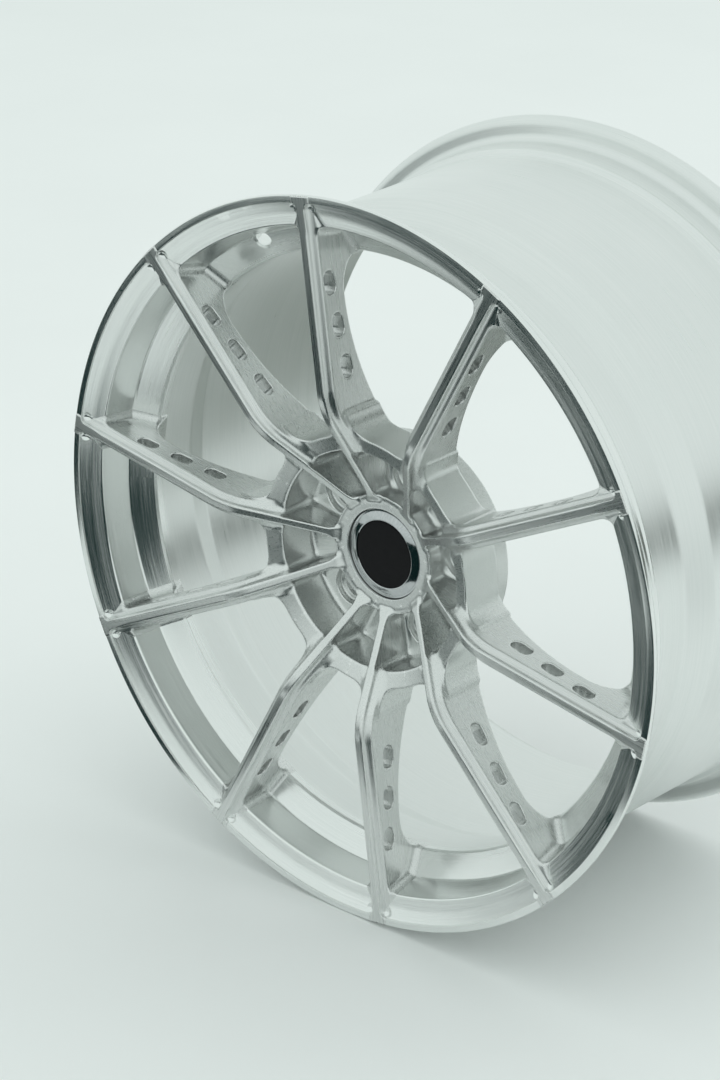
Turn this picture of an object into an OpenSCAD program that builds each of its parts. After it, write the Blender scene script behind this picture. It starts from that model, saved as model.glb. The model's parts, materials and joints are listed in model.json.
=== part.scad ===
// A forged one-piece wheel rim with ten spokes in mirrored pairs and a push-in centre cap.
// Depth runs rearward from the front plane; placed() stands the wheel up with its axle along Y.

/* [Rim] */
// Bead seat diameter
rim_dia = 482.6; // [470:0.1:495]
// Distance between the two bead faces
bead_w = 241.3; // [228:0.1:254]
// Flange height above the bead seat
flange_h = 17.5; // [17:0.1:19]
// Flange thickness at its foot
flange_t = 9.35; // [9:0.05:10]
// Radius of the flange's outer curl
curl_r = 7; // [5:0.1:7.5]
// Radius at the foot of the flange
foot_r = 6.5; // [5.5:0.1:7]
// Length of a bead seat
seat_len = 13; // [12:0.1:13.5]
// Taper of a bead seat in degrees
seat_taper = 5; // [4:0.5:6]
// Height of the safety hump beside a bead seat
hump_h = 1; // [0.6:0.1:1.4]
// Depth of the well below the bead seat
well_drop = 17.8; // [17:0.1:19]
// Start of the well's floor
well_front = 47; // [46:0.5:50]
// End of the well's floor
well_rear = 82; // [74:1:92]
// Height of the barrel above the well's floor
barrel_rise = 10.5; // [9:0.1:12]
// Length of the rise from the well to the barrel
rise_len = 20; // [16:1:26]
// Taper of the barrel toward the rear
barrel_taper = 2; // [1:0.1:2.5]
// Wall of the barrel and the well
wall = 5.5; // [5:0.1:7]

/* [Front face] */
// Lip flat behind the ridge tops
lip_z = 0.8; // [0.6:0.1:1.1]
// Width of the lip flat
lip_w = 5.2; // [4.5:0.1:6]
// Step behind the lip flat
lip_step = 1.2; // [0.8:0.1:1.5]
// Depth of the mouth's edge
mouth_z = 8; // [7.6:0.1:8.6]
// Wall between the bead seat and the mouth's edge
mouth_wall = 4.3; // [4:0.1:5]
// Depth of the bend in front of the valve band
bend_z = 30; // [28.5:0.5:31]
// Wall between the bead seat and the bend
bend_wall = 9.3; // [9:0.1:10.5]
// Depth of the inner edge
edge_z = 39; // [38:0.5:40]
// Distance from the bead seat to the inner edge
edge_wall = 25.9; // [25.2:0.1:27]
// Length of the land behind the inner edge
edge_land = 7; // [6:0.5:8]

/* [Spokes] */
// Angle of the first spoke, from +X toward +Z
phase = 97.7; // [60:0.1:120]
// Sideways shift of a spoke toward its partner
pair_shift = 2.5; // [0.5:0.1:3.5]
// Thickness of a spoke's web
web_t = 15.5; // [14.5:0.1:16.5]
// Width of the ridge on a spoke
ridge_w = 7; // [6.8:0.1:7.6]
// Radius of the grooves beside the ridge
groove_r = 4.5; // [4.2:0.1:4.8]
// Depth of the grooves' axes below the ridge top
groove_drop = 0.5; // [0.3:0.1:0.8]
// Distance from the rim's outside to the grooves' outer ends
groove_inset = 9.8; // [9:0.1:12]
// Radius where the ridge bends toward the hub
knee_r = 112; // [110:1:116]
// Rounding of that bend
knee_round = 24; // [18:1:25]
// Slope of the ridge inside the bend, in degrees
dish_angle = 29.7; // [28.5:0.1:30.2]
// Depth of the web's rear edge at its waist
waist_z = 26.5; // [25.5:0.5:28]
// Growth of the web toward the hub
web_curve = 0.00298; // [0.0028:0.00001:0.0031]
// Radius of the web's flare into the ring
flare_r = 27.5; // [26.5:0.5:28.5]
// Fillet between the web and the ring
web_fillet = 7; // [5:0.5:8]

/* [Slots] */
// Slot length
slot_len = 15.5; // [13:0.5:18]
// Slot width
slot_w = 9; // [7:0.5:10]
// Distance between slots along the spoke
slot_pitch = 29.25; // [27:0.25:31]
// Depth of the outer slot
slot_z = 13; // [12:0.5:14]
// Step rearward from one slot to the next
slot_step = 4; // [3:0.1:4.5]
// Distance from the inner edge to the outer slot
slot_inset = 17.4; // [15:0.1:19]

/* [Hub] */
// Radius of the hub's outer wall
hub_r = 90; // [88:0.5:91]
// Corner radius of the windows at the hub
window_round = 12; // [9:0.5:12.5]
// Depth where the spider ends and the mounting pad begins
pad_z = 57; // [56:0.5:57.5]
// Radius of the mounting pad
pad_r = 80; // [76:0.5:83]
// Depth of the mounting face
face_z = 79; // [78.5:0.5:86]
// Radius of the plain collar round the cap
collar_r = 40; // [39:0.5:41]
// Depth of the collar's face
collar_z = 42.5; // [42:0.1:43]
// Inner radius of the pockets
pocket_in = 43; // [42.5:0.1:43.1]
// Outer radius of the pockets
pocket_out = 78; // [75:0.5:80]
// Depth of the cone at the pockets' outer edge
cone_z = 25.5; // [24.5:0.1:26.5]
// Depth of the cone at the hub's outer wall
shoulder_z = 21.3; // [20.5:0.1:22]
// Width of the ribs between pockets
rib_w = 6.4; // [5.6:0.1:6.6]
// Corner radius of the pockets
pocket_round = 6; // [4:0.5:6.5]
// Bolt circle diameter
lug_pcd = 114.3; // [114.3:0.1:115]
// Bolt hole diameter
lug_d = 15; // [13:0.5:16]
// Diameter of the nut's seat
lug_seat_d = 28; // [26:0.5:28]
// Depth of the nut's seat
lug_seat_z = 62; // [60:0.5:64]
// Mouth diameter of the conical nut seat
lug_cone_d = 20; // [18:0.5:22]
// Hub bore diameter
bore_d = 72.6; // [66:0.1:74]
// Hub bore length
bore_len = 17; // [15:0.5:17.5]
// Chamfer at the hub bore's mouth
bore_chamfer = 1.2; // [0.5:0.1:2]
// Length of the relief that takes the cap's hooks
relief_len = 4; // [3.8:0.1:4.4]

/* [Valve hole] */
// Valve hole diameter
valve_d = 11.5; // [11.3:0.1:12]
// Spot face diameter
spot_d = 15; // [14:0.5:17]
// Spot face depth
spot_h = 1; // [0.5:0.1:1.5]
// Place on the valve band, from the bend to the inner edge
valve_along = 0.24; // [0.22:0.01:0.35]

/* [Centre cap] */
// Bezel radius
cap_r = 32; // [31:0.1:32]
// Radius of the disc inside the bezel
disc_r = 26; // [25.6:0.1:26.4]
// Depth of the disc's face
disc_z = 43.4; // [43.2:0.1:43.6]
// Disc thickness
disc_t = 1.5; // [1.2:0.1:1.8]
// Bezel height
bezel_h = 3.7; // [3.5:0.1:4]
// Depth of the bezel's crest
bezel_z = 42.7; // [42.4:0.1:42.9]
// Gasket thickness
seal_t = 0.8; // [0.5:0.1:1.2]
// Radius of the cap's bore in the hub
clip_bore_r = 28.5; // [28.2:0.1:29]
// Thickness of the clip legs
leg_t = 1.6; // [1.3:0.1:1.8]
// Width of a clip leg in degrees
leg_angle = 34; // [26:1:40]
// Height of the hooks on the clip legs
hook_h = 2.8; // [2:0.1:3]
// Wire diameter of the spreader ring
wire_d = 1.6; // [1.2:0.1:1.8]
// Opening of the spreader ring in degrees
ring_gap = 30; // [15:1:45]

/* [Fits] */
// Radial gap round the bezel
cap_gap = 0.5; // [0.4:0.05:0.9]
// Gap between the gasket and its seat
seat_gap = 0.3; // [0.3:0.05:0.6]
// Radial gap between pressed-in hooks and the cap's bore
hook_gap = 0.3; // [0.3:0.05:0.5]
// Gap between the cap's own pieces
piece_gap = 0.1; // [0.05:0.01:0.2]

/* [Hidden] */
$fn = 120;
arc_steps = 8;
over = 1;
spokes = 10;
legs = 6;
pitch = 360 / spokes;

rim_w = bead_w + 2 * flange_t;
seat_r = rim_dia / 2;
out_r = seat_r + flange_h;
seat_front = flange_t + foot_r;
seat_end = seat_front + seat_len;
seat_end_r = seat_r - seat_len * tan(seat_taper);
hump_w = 5;
hump_end = seat_end + hump_w;
well_r = seat_r - well_drop;
barrel_front = well_rear + rise_len;
barrel_r = well_r + barrel_rise;
barrel_end_r = barrel_r + barrel_taper;
rear_slope = 6;
barrel_end = rim_w - hump_end - rear_slope;
lip_r = out_r - lip_w;
mouth_r = seat_r - mouth_wall;
bend_r = seat_r - bend_wall;
edge_r = seat_r - edge_wall;
land_r = edge_r - 1.2;
well_in_r = well_r - wall;
barrel_in_r = barrel_r - wall;
barrel_end_in_r = barrel_end_r - wall;
tip_r = out_r - 0.5;
root_r = knee_r - 7;
waist_r = edge_r - 25.4;
ridge_gap = ridge_w / 2 + groove_r;
groove_end = out_r - groove_inset;
band_angle = atan2(edge_z - bend_z, bend_r - edge_r);
valve_r = bend_r + (edge_r - bend_r) * valve_along;
valve_z = bend_z + (edge_z - bend_z) * valve_along;
cap_seat_r = cap_r + cap_gap;
plate_z = disc_z + disc_t;
bezel_base = bezel_z + bezel_h;
cap_seat_z = bezel_base + seal_t + seat_gap;
ledge_z = face_z - bore_len;
catch_z = ledge_z - relief_len;
relief_r = clip_bore_r + 3;
plate_r = disc_r + 1.3;
plate_end = bezel_base + 1.1;
leg_out = clip_bore_r - 0.7;
hook_r = clip_bore_r - hook_gap;
hook_z = catch_z + 0.6;
wire_r = leg_out - leg_t - piece_gap - wire_d / 2;
wire_z = catch_z - 2;

metal = [0.74, 0.77, 0.76];
chrome = [0.85, 0.87, 0.88];
black = [0.03, 0.03, 0.035];
rubber = [0.08, 0.08, 0.08];
steel = [0.6, 0.61, 0.62];

// Outlines with rounded corners: each point is x, y and its corner radius.
function unit(v) = v / norm(v);
function turn(a) = a > 180 ? a - 360 : a < -180 ? a + 360 : a;
function flat(p) = [p[0], p[1]];
function corner(p, q, s, r) =
    r == 0 ? [q] :
    let (
        a = unit(p - q),
        b = unit(s - q),
        half = acos(a * b) / 2,
        c = q + unit(a + b) * r / sin(half),
        u = q + a * r / tan(half) - c,
        w = q + b * r / tan(half) - c,
        from = atan2(u[1], u[0]),
        sweep = turn(atan2(w[1], w[0]) - from)
    )
    [for (i = [0:arc_steps]) c + r * [cos(from + sweep * i / arc_steps), sin(from + sweep * i / arc_steps)]];
function rounded(v) = [
    for (i = [0:len(v) - 1])
        each corner(flat(v[(i + len(v) - 1) % len(v)]), flat(v[i]), flat(v[(i + 1) % len(v)]), v[i][2])
];

// Depth of the ridge top and of the web's rear edge at a distance from the axle.
function ridge_z(u) = u > knee_r ? 0 : (knee_r - u) * tan(dish_angle);
function rear_z(u) = waist_z + web_curve * pow(waist_r - u, 2);

// Spoke angle about the local axis, and the side its partner is on.
function spoke_angle(k) = pitch * (k - 1) - phase;
function side(k) = k % 2 == 1 ? -1 : 1;

// Stand the wheel up: depth becomes +Y and the origin moves to the wheel's centre.
module placed() {
    translate([0, -rim_w / 2, 0]) rotate([-90, 0, 0]) children();
}

// Turn a solid measured from the rear plane to face the rear.
module from_rear() {
    translate([0, 0, rim_w]) mirror([0, 0, 1]) children();
}

// Flange section: lip, curl and foot, with the mouth on the inside.
module front_flange_section() {
    polygon(rounded([
        [out_r, lip_z, 0.8],
        [out_r, flange_t, curl_r],
        [seat_r, flange_t, foot_r],
        [seat_r, seat_front, 0],
        [mouth_r - (seat_front - mouth_z) * (mouth_r - bend_r) / (bend_z - mouth_z), seat_front, 0],
        [mouth_r, mouth_z, 2],
        [(mouth_r + lip_r) / 2, (mouth_z + lip_z + lip_step) / 2 + 0.5, 40],
        [lip_r, lip_z + lip_step, 0],
        [lip_r, lip_z, 0.3]
    ]));
}

// Bead seat, hump and the valve band that faces the front.
module front_seat_section() {
    polygon(rounded([
        [seat_r, seat_front, 0],
        [seat_end_r, seat_end, 0],
        [seat_end_r + hump_h, seat_end + hump_w / 2, 2],
        [seat_end_r - 0.6, hump_end, 3],
        [well_r, well_front, 0],
        [land_r, well_front, 0],
        [land_r, edge_z + 2, 0.8],
        [edge_r, edge_z, 0],
        [bend_r, bend_z, 3],
        [mouth_r - (seat_front - mouth_z) * (mouth_r - bend_r) / (bend_z - mouth_z), seat_front, 0]
    ]));
}

module drop_well_section() {
    polygon(rounded([
        [well_r, well_front, 0],
        [well_r, well_rear, 10],
        [barrel_r, barrel_front, 0],
        [barrel_in_r, barrel_front, 0],
        [well_in_r, well_rear - 2, 10],
        [well_in_r, edge_z + edge_land + 3, 2],
        [land_r, well_front, 0]
    ]));
}

module barrel_section() {
    polygon([
        [barrel_r, barrel_front],
        [barrel_end_r, barrel_end],
        [barrel_end_in_r, barrel_end],
        [barrel_in_r, barrel_front]
    ]);
}

// Rear bead seat, measured from the rear plane.
module rear_seat_section() {
    polygon(rounded([
        [seat_r, seat_front, 0],
        [seat_end_r, seat_end, 0],
        [seat_end_r + hump_h, seat_end + hump_w / 2, 2],
        [barrel_end_r + 0.8, hump_end + 1, 2],
        [barrel_end_r, hump_end + rear_slope, 0],
        [barrel_end_in_r, hump_end + rear_slope, 0],
        [barrel_end_in_r + 1.4, seat_front, 0]
    ]));
}

// Rear flange, measured from the rear plane.
module rear_flange_section() {
    polygon(rounded([
        [out_r, 0, 1.2],
        [out_r, flange_t, curl_r],
        [seat_r, flange_t, foot_r],
        [seat_r, seat_front, 0],
        [barrel_end_in_r + 1.4, seat_front, 0],
        [seat_r - 5, flange_t - 1, 4],
        [seat_r + 6, 2.5, 8],
        [out_r - 6, 0, 3]
    ]));
}

// Round-ended cutters for the two grooves beside a ridge, mitred where the ridge bends.
module grooves(inner, outer) {
    mitre = groove_r * tan(dish_angle / 2) + 0.2;
    for (s = [-1, 1]) translate([knee_r, s * ridge_gap, groove_drop]) {
        translate([-mitre, 0, 0]) rotate([0, 90, 0]) cylinder(r = groove_r, h = outer - knee_r + mitre);
        translate([outer - knee_r, 0, 0]) sphere(r = groove_r);
        rotate([0, -90 - dish_angle, 0]) translate([0, 0, -mitre])
            cylinder(r = groove_r, h = (knee_r - inner) / cos(dish_angle) + mitre);
    }
}

// Put children on spoke k: its angle about the axle and its shift toward its partner.
module on_spoke(k) {
    rotate([0, 0, spoke_angle(k)]) translate([0, side(k) * pair_shift, 0]) children();
}

// Groove ends as the front ring sees them.
module groove_ends() {
    for (k = [1:spokes]) on_spoke(k) grooves(knee_r - over, groove_end);
}

// The front of the rim as one solid, for cutting the spokes' outer ends.
module ring_solid() {
    rotate_extrude() front_flange_section();
    rotate_extrude() front_seat_section();
    rotate_extrude() drop_well_section();
}

// Valve hole with its spot face, square to the valve band.
module valve_cut() {
    rotate([0, 0, spoke_angle(1) - pitch / 2]) translate([valve_r, 0, valve_z]) rotate([0, band_angle, 0]) {
        translate([0, 0, -over]) cylinder(d = valve_d, h = 40);
        translate([0, 0, -20]) cylinder(d = spot_d, h = 20 + spot_h);
    }
}

module front_flange() {
    color(metal) placed() difference() {
        rotate_extrude() front_flange_section();
        groove_ends();
    }
}

// The front seat is a ring with one sector left out for the valve hole.
module front_seat() {
    color(metal) placed() rotate([0, 0, spoke_angle(1)])
        rotate_extrude(angle = 360 - pitch) front_seat_section();
}

module valve_sector() {
    color(metal) placed() difference() {
        rotate([0, 0, spoke_angle(1) - pitch]) rotate_extrude(angle = pitch) front_seat_section();
        valve_cut();
    }
}

module drop_well() {
    color(metal) placed() rotate_extrude() drop_well_section();
}

module barrel() {
    color(metal) placed() rotate_extrude() barrel_section();
}

module rear_seat() {
    color(metal) placed() from_rear() rotate_extrude() rear_seat_section();
}

module rear_flange() {
    color(metal) placed() from_rear() rotate_extrude() rear_flange_section();
}

// Side view of a spoke: ridge on the front, curved rear edge, outer end buried in the ring.
module web_side() {
    polygon(concat(
        rounded([
            [root_r, rear_z(root_r), 0],
            [root_r, ridge_z(root_r), 0],
            [knee_r, 0, knee_round],
            [tip_r, 0, 0.3],
            [tip_r, lip_z + 0.6, 0],
            [lip_r + 1, lip_z + 2, 0],
            [mouth_r + 6, mouth_z - 0.5, 0],
            [mouth_r + 1, mouth_z + 4, 0],
            [bend_r + 1, bend_z + 1, 0],
            [edge_r + 3, edge_z + 3, 0]
        ]),
        [for (a = [-19:-8.875:-90]) [waist_r + flare_r * cos(a), waist_z + flare_r * (1 + sin(a))]],
        [for (i = [1:9]) let (u = waist_r + (root_r - waist_r) * i / 10) [u, rear_z(u)]]
    ));
}

// Rounded slot through a web.
module slot(i) {
    tilt = atan2(slot_step, slot_pitch);
    straight = (slot_len - slot_w) / 2;
    translate([edge_r - slot_inset - i * slot_pitch, 0, slot_z + i * slot_step]) rotate([0, tilt, 0]) {
        for (s = [-1, 1]) translate([s * straight, 0, 0])
            rotate([90, 0, 0]) cylinder(d = slot_w, h = web_t + 2 * over, center = true);
        cube([2 * straight, web_t + 2 * over, slot_w], center = true);
    }
}

// Fillet between one side of a web and the ring's mouth.
module web_foot(s) {
    mid_r = (mouth_r + bend_r) / 2;
    cv = web_t / 2 + web_fillet;
    cu = sqrt(pow(mid_r - web_fillet, 2) - cv * cv);
    touch = [cu, cv] * mid_r / (mid_r - web_fillet);
    mirror([0, s > 0 ? 0 : 1, 0]) difference() {
        translate([0, 0, mouth_z + 2]) linear_extrude(height = bend_z - mouth_z + 2)
            polygon([[cu, web_t / 2 - over], [cu, cv], touch, [mid_r + over, web_t / 2 - over]]);
        translate([cu, cv, 0]) cylinder(r = web_fillet, h = bend_z + mouth_z);
    }
}

module spoke(k) {
    color(metal) placed() difference() {
        on_spoke(k) difference() {
            union() {
                translate([0, web_t / 2, 0]) rotate([90, 0, 0]) linear_extrude(height = web_t) web_side();
                for (s = [-1, 1]) web_foot(s);
            }
            grooves(root_r - 10, groove_end);
            for (i = [0:2]) slot(i);
        }
        ring_solid();
    }
}

// Plan of the hub's wall: a disc, ten spoke roots and the corner fillets of the windows.
module window_fillet(s) {
    cv = web_t / 2 + window_round;
    cu = sqrt(pow(hub_r + window_round, 2) - cv * cv);
    touch = [cu, cv] * hub_r / (hub_r + window_round);
    mirror([0, s > 0 ? 0 : 1, 0]) difference() {
        linear_extrude(height = pad_z)
            polygon([[cu, web_t / 2 - over], [cu, cv], touch, touch * 0.9, [hub_r * 0.9, web_t / 2 - over]]);
        translate([cu, cv, -over]) cylinder(r = window_round, h = pad_z + 2 * over);
    }
}

module hub_plan() {
    cylinder(r = hub_r, h = pad_z);
    for (k = [1:spokes]) on_spoke(k) {
        translate([hub_r / 2, -web_t / 2, 0]) cube([root_r - hub_r / 2, web_t, pad_z]);
        for (s = [-1, 1]) window_fillet(s);
    }
}

// Section that trims the plan: front cone and the rear edges of the spoke roots.
module spider_section() {
    cone_end = shoulder_z - (root_r + 2 - hub_r) * (cone_z - shoulder_z) / (hub_r - pocket_out);
    polygon([
        [cap_seat_r, collar_z],
        [collar_r, collar_z],
        [pocket_out, cone_z],
        [hub_r, shoulder_z],
        [root_r + 2, cone_end],
        [root_r + 2, rear_z(root_r + 2)],
        [hub_r - 2, pad_z],
        [clip_bore_r, pad_z],
        [clip_bore_r, cap_seat_z],
        [cap_seat_r, cap_seat_z]
    ]);
}

// Side view of a rib: the ridge carried on down to the collar, with its rear inside the hub.
module rib_side() {
    polygon([
        [collar_r - 4, ridge_z(collar_r - 4)],
        [root_r, ridge_z(root_r)],
        [root_r, rear_z(root_r) - 3],
        [hub_r - 2, pad_z - 3],
        [collar_r - 4, pad_z - 3]
    ]);
}

// Plan of the pocket between spokes k and k + 1, with round corners.
module pocket(k) {
    wide = k % 2 == 1 ? 1 : -1;
    inset = rib_w / 2 - wide * pair_shift;
    half = pitch / 2;
    reach_in = half - asin(inset / pocket_in);
    reach_out = half - asin(inset / pocket_out);
    inner = [for (i = [-1, 1]) [pocket_in * cos(i * reach_in), pocket_in * sin(i * reach_in), pocket_round]];
    outer = [
        for (i = [2:-1:-2]) let (a = i * reach_out / 2)
            [pocket_out * cos(a), pocket_out * sin(a), abs(i) == 2 ? pocket_round : 0]
    ];
    rotate([0, 0, spoke_angle(k) + half]) linear_extrude(height = pad_z + over)
        polygon(rounded(concat(inner, outer)));
}

module hub_spider() {
    color(metal) placed() difference() {
        union() {
            intersection() {
                hub_plan();
                rotate_extrude() spider_section();
            }
            for (k = [1:spokes]) on_spoke(k)
                translate([0, web_t / 2, 0]) rotate([90, 0, 0]) linear_extrude(height = web_t) rib_side();
        }
        for (k = [1:spokes]) on_spoke(k) grooves(pocket_in, knee_r + over);
        for (k = [1:spokes]) pocket(k);
        cylinder(r = cap_seat_r, h = cap_seat_z);
        cylinder(r = clip_bore_r, h = pad_z + over);
    }
}

// Bolt hole with a conical nut seat in a round pocket.
module lug_cut() {
    seat_depth = (lug_cone_d - lug_d) / 2 / tan(30);
    translate([lug_pcd / 2, 0, 0]) {
        cylinder(d = lug_d, h = face_z + over);
        cylinder(d = lug_seat_d, h = lug_seat_z);
        translate([0, 0, lug_seat_z]) cylinder(d1 = lug_cone_d, d2 = lug_d, h = seat_depth);
    }
}

module hub_pad() {
    bore_r = bore_d / 2;
    color(metal) placed() difference() {
        rotate_extrude() polygon(rounded([
            [clip_bore_r, pad_z, 0],
            [hub_r - 2, pad_z, 0],
            [pad_r, pad_z + 6, 4],
            [pad_r, face_z, 1],
            [bore_r + bore_chamfer, face_z, 0],
            [bore_r, face_z - bore_chamfer, 0],
            [bore_r, ledge_z, 0],
            [relief_r, ledge_z, 0],
            [relief_r, catch_z, 0],
            [clip_bore_r, catch_z, 0]
        ]));
        for (k = [1:2:spokes]) rotate([0, 0, spoke_angle(k) + pitch / 2]) lug_cut();
    }
}

// Bevelled bezel with a thin outer rim.
module cap_bezel() {
    color(chrome) placed() rotate_extrude() polygon(rounded([
        [disc_r, bezel_z + 0.3, 0],
        [disc_r + 0.6, bezel_z, 0.2],
        [cap_r - 1.5, bezel_z + 1.7, 0],
        [cap_r - 1.5, bezel_z + 2.1, 0],
        [cap_r, bezel_z + 2.1, 0.3],
        [cap_r, bezel_base, 0],
        [plate_r + piece_gap, bezel_base, 0],
        [plate_r + piece_gap, plate_z, 0],
        [disc_r, plate_z, 0]
    ]));
}

module cap_disc() {
    disc_edge = disc_r - piece_gap;
    color(black) placed() rotate_extrude() polygon(rounded([
        [0, disc_z, 0],
        [disc_edge, disc_z, 0.4],
        [disc_edge, plate_z, 0],
        [0, plate_z, 0]
    ]));
}

// Plate with a ring of clip legs; each leg has a hook and a shelf for the spreader ring.
module cap_body() {
    leg_in = leg_out - leg_t;
    leg_root = plate_end + 2;
    leg_end = hook_z + hook_h;
    gap_half_w = clip_bore_r * tan((360 / legs - leg_angle) / 2);
    color(black) placed() difference() {
        rotate_extrude() polygon([
            [0, plate_z], [plate_r, plate_z], [plate_r, leg_root], [leg_out, leg_root + over],
            [leg_out, hook_z], [hook_r, hook_z + 0.6], [leg_out, leg_end], [leg_in, leg_end],
            [leg_in, wire_z + 2], [leg_in - 1, wire_z + 2], [leg_in - 1, wire_z + 1], [leg_in, wire_z + 1],
            [leg_in, plate_end], [0, plate_end]
        ]);
        for (i = [1:legs]) rotate([0, 0, 360 / legs * i])
            translate([0, 0, leg_root]) linear_extrude(height = leg_end)
                polygon([[0, 0], [clip_bore_r, -gap_half_w], [clip_bore_r, gap_half_w]]);
    }
}

module cap_spring() {
    color(steel) placed() rotate([0, 0, ring_gap / 2]) rotate_extrude(angle = 360 - ring_gap)
        translate([wire_r, wire_z]) circle(d = wire_d);
}

module cap_seal() {
    color(rubber) placed() rotate_extrude()
        translate([plate_r + 1, bezel_base]) square([cap_r - plate_r - 1.6, seal_t]);
}

front_flange();
front_seat();
valve_sector();
drop_well();
barrel();
rear_seat();
rear_flange();
hub_spider();
hub_pad();
spoke(1);  // spoke_01
spoke(2);  // spoke_02
spoke(3);  // spoke_03
spoke(4);  // spoke_04
spoke(5);  // spoke_05
spoke(6);  // spoke_06
spoke(7);  // spoke_07
spoke(8);  // spoke_08
spoke(9);  // spoke_09
spoke(10);  // spoke_10
cap_bezel();
cap_disc();
cap_body();
cap_spring();
cap_seal();
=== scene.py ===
"""A forged wheel rim with ten slotted spokes and a push-in centre cap, in a plain studio."""
import json
import math

import bpy
import numpy as np
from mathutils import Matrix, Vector

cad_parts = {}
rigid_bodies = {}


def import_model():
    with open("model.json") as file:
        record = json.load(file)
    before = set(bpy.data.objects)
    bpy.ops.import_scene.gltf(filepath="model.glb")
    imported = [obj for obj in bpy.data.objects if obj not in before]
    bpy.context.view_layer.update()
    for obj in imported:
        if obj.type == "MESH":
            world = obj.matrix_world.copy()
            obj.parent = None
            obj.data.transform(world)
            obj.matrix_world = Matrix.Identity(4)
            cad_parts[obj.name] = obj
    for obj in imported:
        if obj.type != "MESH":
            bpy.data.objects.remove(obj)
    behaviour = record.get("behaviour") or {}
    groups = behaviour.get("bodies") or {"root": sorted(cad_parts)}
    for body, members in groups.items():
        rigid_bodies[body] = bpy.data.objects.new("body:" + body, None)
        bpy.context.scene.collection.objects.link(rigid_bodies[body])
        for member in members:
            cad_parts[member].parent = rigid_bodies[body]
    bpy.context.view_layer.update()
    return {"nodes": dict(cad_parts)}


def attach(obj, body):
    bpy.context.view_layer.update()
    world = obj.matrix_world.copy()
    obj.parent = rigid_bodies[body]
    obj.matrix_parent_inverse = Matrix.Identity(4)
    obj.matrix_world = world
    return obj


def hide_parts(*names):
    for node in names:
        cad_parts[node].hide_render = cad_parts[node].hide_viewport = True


for leftover in list(bpy.data.objects):
    bpy.data.objects.remove(leftover)
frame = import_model()

# Rim, in millimetres like all sizes before the finishes. Depth runs rearward from the front plane.
MM = 0.001
RIM_DIA = 482.6
BEAD_W = 241.3
FLANGE_H = 17.5
FLANGE_T = 9.35
CURL_R = 7.0
FOOT_R = 6.5
SEAT_LEN = 13.0
SEAT_TAPER = math.radians(5)
HUMP_H = 1.0
HUMP_HALF = 2.5
HUMP_FOOT = 0.6
WELL_DROP = 17.8
WELL_FRONT = 47.0
WELL_REAR = 82.0
RISE_LEN = 20.0
BARREL_RISE = 10.5
BARREL_TAPER = 2.0
REAR_SLOPE = 6.0
WALL = 5.5
RIM_W = BEAD_W + 2 * FLANGE_T
SEAT_R = RIM_DIA / 2
OUT_R = SEAT_R + FLANGE_H
SEAT_FRONT = FLANGE_T + FOOT_R
SEAT_END = SEAT_FRONT + SEAT_LEN
SEAT_END_R = SEAT_R - SEAT_LEN * math.tan(SEAT_TAPER)
HUMP_MID = SEAT_END + HUMP_HALF
HUMP_END = HUMP_MID + HUMP_HALF
WELL_R = SEAT_R - WELL_DROP
BARREL_FRONT = WELL_REAR + RISE_LEN
BARREL_R = WELL_R + BARREL_RISE
BARREL_END_R = BARREL_R + BARREL_TAPER

# Front face of the rim: lip, mouth, bend and inner edge.
LIP_Z = 0.8
LIP_STEP = 1.2
LIP_R = OUT_R - 5.2
MOUTH_R, MOUTH_Z = SEAT_R - 4.3, 8.0
BEND_R, BEND_Z = SEAT_R - 9.3, 30.0
EDGE_R, EDGE_Z = SEAT_R - 25.9, 39.0
LAND_R = EDGE_R - 1.2
DISH_BULGE, DISH_ROUND = 0.5, 40.0

# Spokes: mirrored pairs, each with a ridge between two grooves; the knee is rounded wider than the part's.
SPOKES = 10
PHASE = 97.7
PITCH = 360 / SPOKES
PAIR_SHIFT = 2.5
WEB_HALF = 15.5 / 2
RIDGE_HALF = 7.0 / 2
GROOVE_R = 4.5
GROOVE_DROP = 0.5
GROOVE_START = 76.0
GROOVE_END = OUT_R - 9.8
KNEE_R = 112.0
KNEE_ROUND = 55.0
KNEE_FADE, KNEE_FADE_LEN = KNEE_R - 13.0, 27.0
DISH = math.radians(29.7)
KNEE_REACH = KNEE_ROUND * math.tan(DISH / 2)
WAIST_R, WAIST_Z = 190.0, 26.5
WEB_CURVE = 0.00298
FLARE_R = 27.5
FLARE_START, FLARE_END = -19, -90
TIP_R = OUT_R - 0.5

# Slots, three to a spoke, a little larger than the part's.
SLOT_COUNT = 3
SLOT_PITCH = 29.25
SLOT_STEP = 4.0
SLOT_FIRST = EDGE_R - 17.4, 13.0
SLOT_HALF = 3.4
SLOT_R = 4.8
SLOT_TILT = math.atan2(SLOT_STEP, SLOT_PITCH)

# Hub: collar, pockets between ribs, bolt holes and bore.
HUB_R = 90.0
ROOT_R = HUB_R + 15.0
PAD_Z = 57.0
PAD_R = 80.0
FACE_Z = 79.0
COLLAR_R, COLLAR_Z = 40.0, 42.5
COLLAR_ROUND = 12.0
RIB_START = 41.0
RIB_HALF = 3.2
POCKET_IN, POCKET_OUT = 43.0, 78.0
WIDEN_START, WIDEN_LEN = POCKET_OUT - 4.0, 10.0
CONE_Z = 25.5
SHOULDER_Z = 21.3
LUG_R = 114.3 / 2
LUG_HOLE_R = 7.5
LUG_SEAT_R = 14.0
LUG_SEAT_Z = 62.0
LUG_CONE_R = 10.0
LUG_CONE_LEN = 4.0
LUG_CONE = math.radians(30)
BORE_R = 72.6 / 2
BORE_CHAMFER = 1.2
LEDGE_Z = FACE_Z - 17.0
CLIP_BORE_R = 28.5
CATCH_Z, RELIEF_R = LEDGE_Z - 4.0, CLIP_BORE_R + 3.0

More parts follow.
